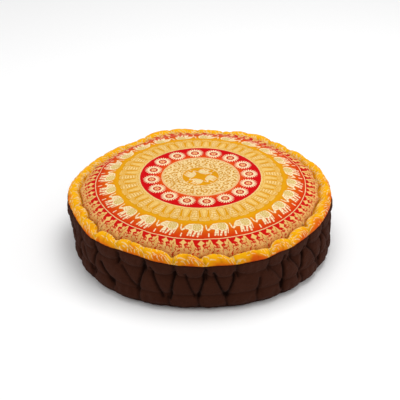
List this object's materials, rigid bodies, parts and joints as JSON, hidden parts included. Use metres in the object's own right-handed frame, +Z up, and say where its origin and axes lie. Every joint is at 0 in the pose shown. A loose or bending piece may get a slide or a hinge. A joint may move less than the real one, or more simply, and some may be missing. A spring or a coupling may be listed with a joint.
{
  "type": "floor pouf",
  "caption": "Round stuffed floor pouf with rolled, stitched edges, a patterned cotton top and a plain side band.",
  "frame": {"origin": "on the floor, under the middle of the pouf's plan", "axes": "+Z up through the crown, -Y to the front of the pouf as the picture shows it, +X to the right seen from there"},
  "size_m": [0.6074, 0.608, 0.16],
  "materials": {
    "printed_cotton": "matt printed cotton with rings of cream figures on mustard, orange and red",
    "brown_cotton": "matt plain woven cotton, dark brown"
  },
  "bodies": {
    "root": {"top_panel": "printed_cotton", "filled_band": "brown_cotton", "bottom_panel": "brown_cotton"}
  },
  "joints": []
}
